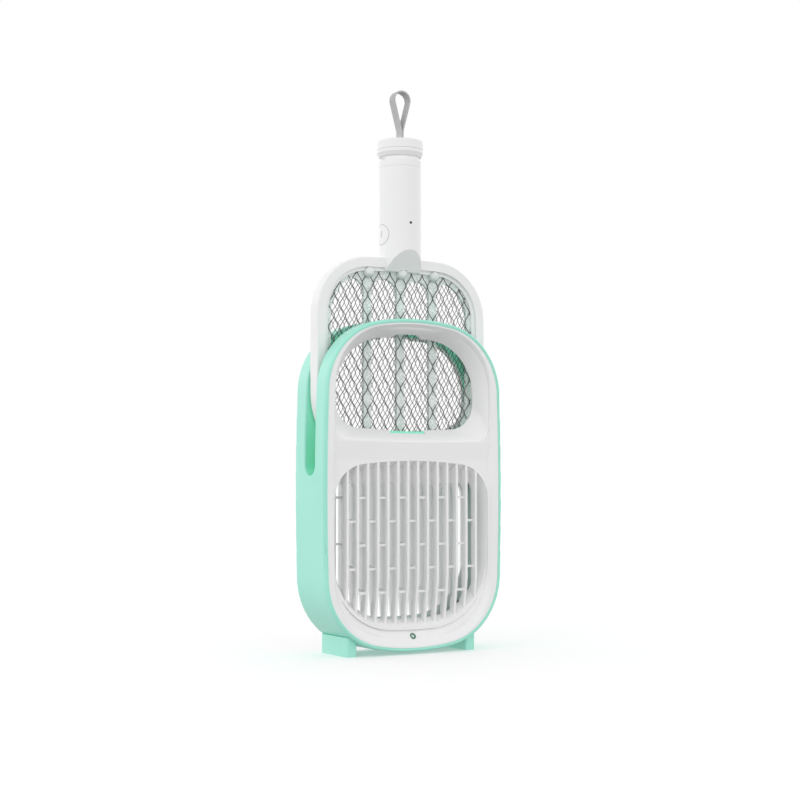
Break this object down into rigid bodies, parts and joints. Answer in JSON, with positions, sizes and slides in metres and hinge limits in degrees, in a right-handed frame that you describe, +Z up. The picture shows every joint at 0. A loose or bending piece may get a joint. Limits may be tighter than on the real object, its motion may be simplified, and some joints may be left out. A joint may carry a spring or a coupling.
{
  "type": "electric bug zapper",
  "caption": "Racket-type electric swatter standing handle up in a see-through charging dock with finned grilles and foot bars.",
  "frame": {"origin": "on the floor under the handle's axis, at the bottom centre of the overall box", "axes": "+Z up along the handle, -Y out of the dock's front, +X to the right of a person facing the front"},
  "size_m": [0.1756, 0.0538, 0.4848],
  "materials": {
    "mint_plastic": "satin moulded, mint green",
    "white_plastic": "satin moulded, white",
    "pale_support": "satin moulded, pale grey",
    "lens_plastic": "frosted, milky",
    "mesh_steel": "plain steel",
    "screw_steel": "zinc plated",
    "inlet_metal": "tinned",
    "contact_brass": "bright",
    "circuit_board": "green solder mask",
    "lead_sheath": "matte white",
    "dark_plastic": "black moulded",
    "cell_wrap": "heat-shrink wrap",
    "indicator_rim": "dark green",
    "indicator_window": "frosted",
    "strap_silicone": "matte grey"
  },
  "bodies": {
    "dock": {"dock_shell": "mint_plastic", "slot_liner": "mint_plastic", "foot_left": "mint_plastic", "foot_right": "mint_plastic", "front_bezel": "white_plastic", "rear_bezel": "white_plastic", "front_grille": "white_plastic", "rear_grille": "white_plastic", "foot_screws": "screw_steel", "indicator_ring": "indicator_rim", "indicator_lens": "indicator_window", "dock_board": "circuit_board", "usb_inlet": "inlet_metal", "chamber_floor": "mint_plastic", "charge_pins": "contact_brass", "contact_board": "circuit_board", "inner_lead": "lead_sheath"},
    "racket": {"racket_front_shell": "white_plastic", "racket_rear_shell": "white_plastic", "racket_screws": "screw_steel", "front_support": "pale_support", "rear_support": "pale_support", "front_mesh": "mesh_steel", "center_mesh": "mesh_steel", "rear_mesh": "mesh_steel", "lamp_lenses": "lens_plastic", "lamp_board": "circuit_board", "contact_pads": "contact_brass", "handle_board": "circuit_board", "step_up_transformer": "dark_plastic", "pulse_capacitor": "dark_plastic", "tact_switch": "dark_plastic", "battery_cell": "cell_wrap", "power_led": "dark_plastic", "neck_sleeve": "white_plastic", "collar_ring": "white_plastic"},
    "button": {"power_button": "white_plastic"},
    "cap": {"end_cap": "white_plastic", "strap_anchor": "dark_plastic", "cap_contact": "contact_brass", "wrist_strap": "strap_silicone"}
  },
  "joints": [
    {"name": "racket_lift", "type": "slide", "parent": "dock", "child": "racket", "axis": [0, 0, 1], "range_m": [0, 0.14]},
    {"name": "power_press", "type": "slide", "parent": "racket", "child": "button", "axis": [1, 0, 0], "range_m": [0, 0.0012], "stiffness_N_per_m": 400},
    {"name": "cap_twist", "type": "hinge", "parent": "racket", "child": "cap", "pos_m": [0, 0, 0.43], "axis": [0, 0, 1], "range_deg": [0, 60]}
  ]
}
